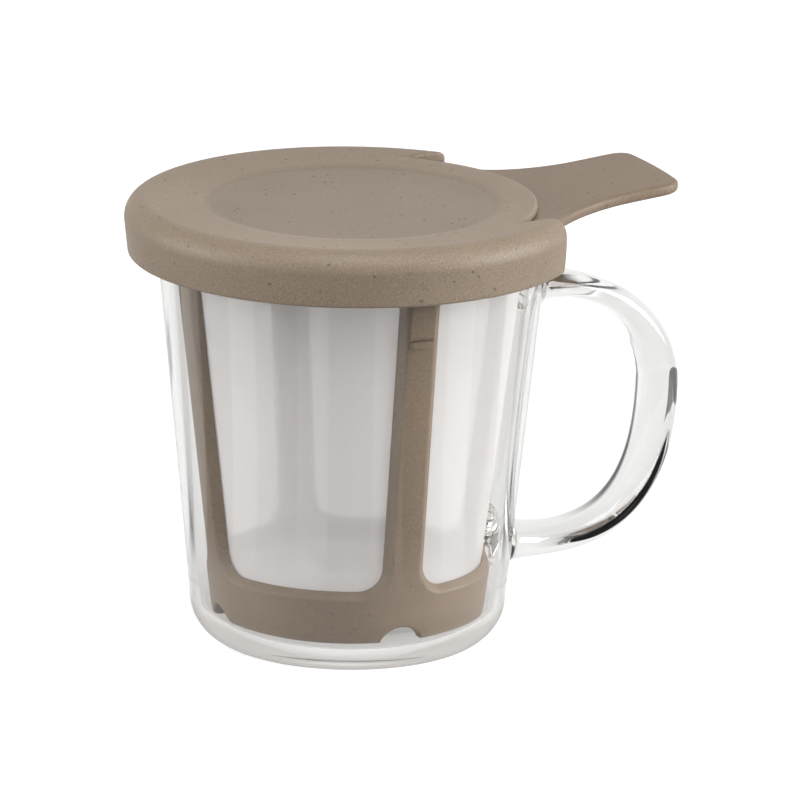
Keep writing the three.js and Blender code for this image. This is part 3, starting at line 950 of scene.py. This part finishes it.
def panelPart(index):
    # a closed sheet on the basket's cone: both faces shrink from the outline to the window's middle
    outline = fullLoop(windowHalf(meshSheet["lap"], meshSheet["depth"]))
    middle = np.array([pitch / 2, (strainer["windowBottom"] + strainer["windowTop"]) / 2])
    share = np.linspace(0, 1, 12)[:, None, None]
    face = middle + share * (outline - middle)
    near = onBasket(face[..., 0], face[..., 1], meshSheet["depth"])
    far = onBasket(face[..., 0], face[..., 1], meshSheet["depth"] + meshSheet["thickness"])
    grid = np.concatenate([near, far[::-1]])
    return gridPart(spin(grid, pitch * index), True)


def makeWeave():
    # crossing threads from two sines, with their heights and how far they cover the gaps between them
    group, given, made = newGroup("fineWeave", [
        ("Vector", "NodeSocketVector", None),
        ("Pitch", "NodeSocketFloat", 0.0004),
    ], [("Height", "NodeSocketFloat"), ("Cover", "NodeSocketFloat")])
    turns = addMath(group, "DIVIDE", 2 * math.pi, given.outputs["Pitch"])
    along, across, _ = addParts(group, given.outputs["Vector"])
    first, second = (addMath(group, "ABSOLUTE", addMath(group, "SINE", product(group, place, turns)))
                     for place in (along, across))
    height = addMath(group, "MAXIMUM", first, second)
    feed(group, made, {"Height": height, "Cover": addRange(group, height, *meshSheet["threadEdge"])})
    return group


fineWeave = makeWeave()


def makeNetting():
    # threads that scatter light to both sides, and gaps between them that let it straight through
    material, tree, shader, output = newTree("netting")
    place = tree.nodes.new("ShaderNodeUVMap")
    place.uv_map = "weave"
    weave = tree.nodes.new("ShaderNodeGroup")
    weave.node_tree = fineWeave
    feed(tree, weave, {"Vector": place.outputs["UV"], "Pitch": 2 * meshSheet["thread"] / 1000})
    cloud = tree.nodes.new("ShaderNodeTexNoise")
    feed(tree, cloud, {"Scale": meshSheet["cloudScale"]})
    colour = addMix(tree, cloud.outputs["Fac"], meshSheet["colour"], meshSheet["shadow"])
    feed(tree, shader, {"Base Color": colour, "Roughness": meshSheet["roughness"]})
    addBump(tree, shader, weave.outputs["Height"], meshSheet["bump"], meshSheet["bumpDepth"])
    through = tree.nodes.new("ShaderNodeBsdfTranslucent")
    feed(tree, through, {"Color": colour})
    threads = addShaders(tree, meshSheet["through"], shader, through)
    gaps = tree.nodes.new("ShaderNodeBsdfTransparent")
    cover = addRange(tree, weave.outputs["Cover"], 0.0, 1.0, *meshSheet["cover"], smooth=False)
    sheet = addShaders(tree, cover, gaps, threads)
    feed(tree, output, {"Surface": sheet.outputs["Shader"]})
    material.diffuse_color = meshSheet["colour"]
    return material


def layWeave(piece, flat):
    # the weave's map: arc length round the basket and height, or the floor's own plane
    mesh = piece.data
    places = np.zeros(len(mesh.vertices) * 3)
    mesh.vertices.foreach_get("co", places)
    places = places.reshape(-1, 3)
    angle = np.arctan2(places[:, 1], places[:, 0]) % (2 * math.pi)
    around = angle * meshSheet["wrap"] / 1000
    chosen = places[:, :2] if flat else np.column_stack([around, places[:, 2]])
    corners = np.zeros(len(mesh.loops), int)
    mesh.loops.foreach_get("vertex_index", corners)
    mesh.uv_layers.new(name="weave").data.foreach_set("uv", chosen[corners].ravel())


netting = makeNetting()
for index in range(4):
    panel = makePiece(f"mesh_sheet_{index + 1}", [panelPart(index)])
    layWeave(panel, False)
    finishPiece(panel, "strainer", "mesh", netting, f"mesh_panel_{index + 1}")
floorProfile = filletPath([
    (0, meshSheet["floorTop"] - meshSheet["thickness"], 0),
    (meshSheet["floorRadius"], meshSheet["floorTop"] - meshSheet["thickness"], 0.1),
    (meshSheet["floorRadius"], meshSheet["floorTop"], 0.1),
    (0, meshSheet["floorTop"], 0),
], 30.0, 3.0)
floorSheet = makePiece("floor_sheet", [turnedPart(floorProfile, 96)])
layWeave(floorSheet, True)
finishPiece(floorSheet, "strainer", "mesh", netting, "floor_mesh")
print("mesh made")

# Lid: a dished plate with a rounded rim and a skirt, notched for the strainer's handle
lid = {
    "radius": 49.5,
    "seat": 96.7,  # on the strainer's flange
    "crest": 99.0,
    "crown": 4.5,  # radius of the rim's rounding
    "crownFlare": 0.55,  # how far the rounding's corner stands outside the rim
    "dishRadius": 31.0,
    "dishBend": 6.0,
    "stepRadius": 33.4,  # a small step up from the dish to the slope
    "stepRise": 0.45,
    "stepBend": 4.0,
    "dishTop": 97.6,
    "plate": 1.3,
    "skirtBottom": 86.8,
    "skirtDraft": 0.9,
    "skirtLip": 0.7,
    "skirtInner": 47.2,
    "skirtFold": 0.7,
    "spigotRadius": 37.1,
    "spigotWidth": 1.5,
    "spigotDepth": 2.6,
    "notchHalf": 31.1,
    "notchRadius": 40.0,
    "edge": 0.7,
    "innerEdge": 0.35,
    "cornerRadius": 2.2,  # where the notch's sides meet the skirt's outer face
    "columns": 200,
    "look": {
        "base": (0.238, 0.182, 0.13, 1),
        "pale": (0.32, 0.256, 0.192, 1),
        "dark": (0.108, 0.078, 0.053, 1),
        "dishTone": 0.87,
        "dishEdge": (0.0308, 0.033),  # metres from the axis
        "grain": 0.55,
        "pits": 1.0,
        "bump": 0.5,
    },
}


def lidTop(radius):
    # the height of the plate's top outside the step: a slope up to the crown
    middle = lid["radius"] - lid["crown"]
    share = (radius - lid["stepRadius"]) / (middle - lid["stepRadius"])
    level = lid["dishTop"] + lid["stepRise"]
    return level + (lid["crest"] - level) * share


def spread(line, shares):
    # points along a line at given shares of its length
    length = lengthTo(line)
    return np.stack([np.interp(shares * length[-1], length, line[:, i]) for i in range(2)], -1)


def lidRing():
    # the rim's section: over the crown and down the skirt, then back up inside the skirt and along the
    # seat, with as many points on the way back, so that each point has a partner across the wall
    inside = lid["notchRadius"] - lid["edge"]
    bottom, outer, draft = lid["skirtBottom"], lid["radius"], lid["skirtDraft"]
    middle = (outer + lid["skirtInner"]) / 2 - draft
    out = filletPath([
        (inside, lidTop(inside), 0),
        (outer + lid["crownFlare"], lidTop(outer), lid["crown"]),
        (outer - draft, bottom, lid["skirtLip"]),
        (middle, bottom, 0),
    ], 6.0, 0.8)
    back = filletPath([
        (inside, lid["seat"], 0),
        (lid["skirtInner"], lid["seat"], lid["skirtFold"]),
        (lid["skirtInner"] - draft, bottom, lid["skirtLip"]),
        (middle, bottom, 0),
    ], 10.0, 0.5)
    length = lengthTo(out)
    back = spread(back, length / length[-1])
    return np.vstack([out, back[-2::-1]])


def notchSide(radius, inset):
    # the polar angle of the notch's side at a radius: a straight line, then an arc that runs into the
    # skirt's outer face, both moved into the lid by the inset
    corner = lid["cornerRadius"]
    height = lid["notchHalf"] + corner
    reach = lid["radius"] - corner
    along = math.sqrt(reach ** 2 - height ** 2)
    arc = corner - inset
    onArc = (radius ** 2 + reach ** 2 - arc ** 2) / (2 * radius * reach)
    bent = math.atan2(height, along) - np.arccos(np.clip(onArc, -1, 1))
    straight = np.arcsin((lid["notchHalf"] + inset) / radius)
    return np.where(radius < np.hypot(along, height - arc), straight, bent)


def makeLid():
    # a ring of rim and skirt, its two ends beside the notch, the plate's edge in the notch, and two discs
    edge, half, reach = lid["edge"], lid["notchHalf"], lid["notchRadius"]
    inside = reach - edge
    section = lidRing()
    radius, height = section.T
    away = leftOf(section)
    outside = np.arange(len(section)) <= len(section) // 2
    # the skirt's outer face runs into the notch's side, and every other face meets it at an edge
    runsIn = outside & (height > lid["skirtBottom"] + 1)
    rounding = np.where(runsIn, edge * np.abs(away[:, 1]), lid["innerEdge"])
    rounding[[0, -1]] = edge
    # ring: every column starts and ends beside the notch's sides
    start = notchSide(radius, rounding)[:, None]
    share = np.linspace(0, 1, lid["columns"])
    ring = polar(radius[:, None], start + share * (2 * math.pi - 2 * start), height[:, None])
    # ends: the section shrinks as it nears the notch's side, then closes towards the wall's middle
    turns = np.radians(np.linspace(0, 90, 7))
    levels = []
    for turn in turns:
        moved = section - away * (rounding * (1 - math.cos(turn)))[:, None]
        inset = rounding * (1 - math.sin(turn))
        moved[0] = (reach - inset[0], lidTop(inside) - edge * (1 - math.cos(turn)))
        moved[-1] = (reach - inset[0], lid["seat"] + edge * (1 - math.cos(turn)))
        levels.append(polar(moved[:, 0], notchSide(moved[:, 0], inset), moved[:, 1]))
    closing = np.array([0.12, 0.3, 0.5])
    for part in closing:
        drawn = moved + part * (moved[::-1] - moved)
        levels.append(polar(drawn[:, 0], notchSide(drawn[:, 0], 0 * inset), drawn[:, 1]))
    end = np.stack(levels, 1)
    # notch: the plate's edge between the two sides, rounded above and below
    spreadShare = np.linspace(1, -1, 61)
    rim = [(reach - edge * (1 - math.sin(turn)), edge * (1 - math.cos(turn))) for turn in turns]
    rows = [(r, lidTop(inside) - drop) for r, drop in rim]
    top, low = rows[-1][1], lid["seat"] + edge
    shares = np.concatenate([closing, 1 - closing[-2::-1]])
    rows += [(reach, top + part * (low - top)) for part in shares]
    rows += [(r, lid["seat"] + drop) for r, drop in rim[::-1]]
    notch = np.stack([polar(r, spreadShare * math.asin((half + reach - r) / r), z) for r, z in rows])
    # plate: discs above and below, whose edges use the ring's and the notch's columns
    border = np.vstack([ring[0], notch[0][-2:0:-1]])[:, :2] / inside
    under = lid["dishTop"] - lid["plate"]
    spigot = lid["spigotRadius"]
    above = filletPath([
        (inside, lidTop(inside), 0),
        (lid["stepRadius"], lidTop(lid["stepRadius"]), lid["stepBend"]),
        (lid["dishRadius"], lid["dishTop"], lid["dishBend"]),
        (0, lid["dishTop"], 0),
    ], 2.0, 2.0)
    below = filletPath([
        (inside, lid["seat"], 0),
        (spigot, lid["seat"], 0.3),
        (spigot, under - lid["spigotDepth"], 0.4),
        (spigot - lid["spigotWidth"], under - lid["spigotDepth"], 0.4),
        (spigot - lid["spigotWidth"], under, 0.4),
        (0, under, 0),
    ], 20.0, 2.0)
    discs = [np.stack([np.column_stack([border * r, np.full(len(border), z)]) for r, z in line])
             for line in (above, below)]
    mirror = np.array([1, -1, 1])
    parts = [gridPart(ring, False), gridPart(end, False), gridPart(end * mirror, False),
             gridPart(notch, False), gridPart(discs[0], True), gridPart(discs[1], True)]
    return makePiece("lid_moulding", parts, 40.0)


lidPlastic = makePlastic("lidCompound", lid["look"])
lidMoulding = makeLid()
finishPiece(lidMoulding, "lid", "lid_plastic", lidPlastic, "lid")
print("lid made")

# Floor, world and lamps
studio = {
    "floorHalf": 4,  # metres
    "floorPoints": 9,  # along each side
    "floorDrop": 0.0001,
    "floorRoughness": 0.9,
    "floorColour": (0.62, 0.62, 0.62, 1),
    "floorThrough": 0.76,  # the floor's tone through glass
    "floorGlow": 0.62,  # seen by the camera, in gloss and through glass, so that the floor reads white
    "ambient": 0.22,
    "ceiling": 0.05,  # what gloss and glass see above the white walls
    "wallTop": (42, 62),  # degrees where the white walls end
    "cameraSide": 0.3,  # what gloss sees away from the back
    "cameraEdge": (-0.8, -0.35),  # where that starts and ends, as cosines of the turn from the camera
    "between": 0.04,  # what glass bends into view from between the eight standard sides
    "stripes": 8,
    "stripeEdge": (0.45, 0.1),
    "clearBehind": (-0.7, -0.62),  # no stripes behind the mug, as cosines again
    "clearNear": (0.06, 0.1),  # and none on the floor near it, in metres
    "card": {
        "turn": 19,  # degrees to the left of straight behind
        "distance": 0.155,
        "length": 0.09,  # half of it, as for the width
        "width": 0.047,
        "softEnd": 0.02,
        "softSide": 0.01,
        "tone": 0.18,
        "surfaces": 2.5,  # seen through no more surfaces of glass than this
        "wall": 0.03,  # the mug's wall stands further out than this
        "wallHeight": 0.105,  # and lower than this
    },
    "aim": 0.05,  # height that the lamps point at, in metres
    "lamps": {
        # level: what a white surface facing the lamp gets; azimuth from the camera's side, in degrees
        "top": {"level": 0.67, "azimuth": 6, "elevation": 61, "distance": 0.38, "size": 0.26},
        "back": {"level": 0.6, "azimuth": 180, "elevation": 8, "distance": 1.2, "size": 0.7},
        "right": {"level": 1.06, "azimuth": 80, "elevation": 15, "distance": 0.9, "size": 0.5},
        "left": {"level": 0.66, "azimuth": -80, "elevation": 15, "distance": 0.9, "size": 0.5},
    },
}


def seenDirectly(tree):
    # 1 for camera, glossy and transmission rays that no matt surface has scattered, otherwise 0
    path = tree.nodes.new("ShaderNodeLightPath").outputs
    seen = addMath(tree, "MAXIMUM", path["Is Camera Ray"], path["Is Glossy Ray"])
    seen = addMath(tree, "MAXIMUM", seen, path["Is Transmission Ray"])
    return product(tree, seen, addMath(tree, "LESS_THAN", path["Diffuse Depth"], 0.5))


def sideTone(tree, vector, direct):
    # how white the studio looks along a direction or at a place on the floor: gloss sees a dim camera's
    # side, and glass sees dark stripes between the standard sides but none behind the mug or near it
    path = tree.nodes.new("ShaderNodeLightPath").outputs
    x, y, _ = addParts(tree, vector)
    turn = addMath(tree, "ARCTAN2", y, x)
    cameraTurn = math.radians(-90 - photoView["turn"])
    facing = addMath(tree, "COSINE", addMath(tree, "SUBTRACT", turn, cameraTurn))
    dim = addRange(tree, facing, *studio["cameraEdge"], 0.0, 1.0 - studio["cameraSide"])
    outside = addMath(tree, "LESS_THAN", path["Transmission Depth"], 0.5)
    dim = product(tree, dim, path["Is Glossy Ray"], outside)
    stripes = addMath(tree, "COSINE", product(tree, turn, studio["stripes"]))
    dark = addRange(tree, stripes, *studio["stripeEdge"], 0.0, 1.0 - studio["between"])
    beside = addRange(tree, facing, *studio["clearBehind"])
    beyond = addRange(tree, fromAxis(tree, vector), *studio["clearNear"])
    dark = product(tree, dark, beside, beyond, path["Is Transmission Ray"])
    lost = product(tree, addMath(tree, "ADD", dim, dark), direct)
    return addMath(tree, "SUBTRACT", 1.0, lost)


def makeWorld():
    # even light, with white walls and a dark ceiling for what is seen directly
    world = bpy.data.worlds.new("studio")
    bpy.context.scene.world = world
    world.use_nodes = True
    tree = world.node_tree
    tree.nodes.clear()
    output = tree.nodes.new("ShaderNodeOutputWorld")
    background = tree.nodes.new("ShaderNodeBackground")
    path = tree.nodes.new("ShaderNodeLightPath").outputs
    place = tree.nodes.new("ShaderNodeTexCoord").outputs["Generated"]
    low, high = (math.sin(math.radians(angle)) for angle in studio["wallTop"])
    direct = seenDirectly(tree)
    walls = addRange(tree, addParts(tree, place)[2], low, high, 1.0, studio["ceiling"])
    walls = product(tree, walls, sideTone(tree, place, direct))
    walls = addMath(tree, "MAXIMUM", walls, path["Is Camera Ray"])
    gain = addMath(tree, "SUBTRACT", walls, studio["ambient"])
    strength = addMath(tree, "MULTIPLY_ADD", direct, gain, studio["ambient"])
    feed(tree, background, {"Color": (1, 1, 1, 1), "Strength": strength})
    feed(tree, output, {"Surface": background.outputs["Background"]})


def cardShare(tree, place, path):
    # 1 on a dark card behind the mug, to the camera's left, that only the glass handle bends into view:
    # the last stretch of a ray through the mug's own wall is too short to show it
    card = studio["card"]
    single = addMath(tree, "LESS_THAN", path["Transmission Depth"], card["surfaces"])
    beyond = addMath(tree, "SUBTRACT", fromAxis(tree, place), card["wall"])
    square = addMath(tree, "MULTIPLY_ADD", beyond, beyond, card["wallHeight"] ** 2)
    longer = addMath(tree, "GREATER_THAN", path["Ray Length"], addMath(tree, "SQRT", square))
    x, y, _ = addParts(tree, place)
    turn = math.radians(90 - photoView["turn"] + card["turn"])
    ahead, aside = (addMath(tree, "MULTIPLY_ADD", x, byX, product(tree, y, byY)) for byX, byY in
                    ((math.cos(turn), math.sin(turn)), (-math.sin(turn), math.cos(turn))))
    off = addMath(tree, "ABSOLUTE", addMath(tree, "SUBTRACT", ahead, card["distance"]))
    beside = addMath(tree, "ABSOLUTE", aside)
    return product(tree, single, longer,
                   addRange(tree, off, card["length"], card["length"] - card["softEnd"]),
                   addRange(tree, beside, card["width"], card["width"] - card["softSide"]))


def makeFloor():
    # a flat grid just under the mug's foot
    half, count = studio["floorHalf"], studio["floorPoints"]
    edge = np.linspace(-half, half, count)
    x, y = np.meshgrid(edge, edge)
    points = np.stack([x, y, 0 * x - studio["floorDrop"]], -1)
    mesh = bpy.data.meshes.new("studio_floor")
    mesh.from_pydata(points.reshape(-1, 3).tolist(), [], gridFaces(count, count, False).tolist())
    floor = bpy.data.objects.new("studio_floor", mesh)
    bpy.context.scene.collection.objects.link(floor)
    material, tree, shader, _ = newTree("paper")
    path = tree.nodes.new("ShaderNodeLightPath").outputs
    place = tree.nodes.new("ShaderNodeTexCoord").outputs["Object"]
    direct = seenDirectly(tree)
    through = product(tree, path["Is Transmission Ray"], direct)
    shown = product(tree, cardShare(tree, place, path), through)
    tone = product(tree, sideTone(tree, place, direct),
                   addRange(tree, through, 0, 1, 1, studio["floorThrough"]),
                   addRange(tree, shown, 0, 1, 1, studio["card"]["tone"]))
    feed(tree, shader, {
        "Base Color": addMix(tree, tone, (0, 0, 0, 1), studio["floorColour"]),
        "Roughness": studio["floorRoughness"],
        "Specular IOR Level": 0.0,
        "Emission Color": (1, 1, 1, 1),
        "Emission Strength": product(tree, direct, studio["floorGlow"], tone),
    })
    mesh.materials.append(material)


def around(azimuth, elevation, distance):
    # a place round the mug: azimuth 0 is the camera's side, and positive goes to the camera's right
    turn = math.radians(azimuth - 90 - photoView["turn"])
    rise = math.radians(elevation)
    flat = distance * math.cos(rise)
    return np.array([flat * math.cos(turn), flat * math.sin(turn), distance * math.sin(rise) + studio["aim"]])


def aimed(place, target):
    # a turn whose -Z axis points from the place to the target
    back = place - target
    back = back / np.linalg.norm(back)
    side = np.cross([0.0, 0.0, 1.0], back)
    side = side / np.linalg.norm(side)
    up = np.cross(back, side)
    matrix = np.identity(4)
    matrix[:3, 0], matrix[:3, 1], matrix[:3, 2], matrix[:3, 3] = side, up, back, place
    return Matrix(matrix.tolist())


def makeLamps():
    # a lamp's power is its level times (pi times its distance) squared
    for name, lamp in studio["lamps"].items():
        data = bpy.data.lights.new(name, "AREA")
        data.shape = "SQUARE"
        data.size = lamp["size"]
        data.energy = lamp["level"] * (math.pi * lamp["distance"]) ** 2
        place = around(lamp["azimuth"], lamp["elevation"], lamp["distance"])
        light = bpy.data.objects.new(name, data)
        light.matrix_world = aimed(place, np.array([0, 0, studio["aim"]]))
        light.visible_camera = False
        light.visible_transmission = False
        light.visible_glossy = name != "back"  # it would be a bright square in the glass
        bpy.context.scene.collection.objects.link(light)


makeWorld()
makeFloor()
makeLamps()
bpy.context.scene.view_settings.view_transform = "Standard"
print("studio made")

print("finished")
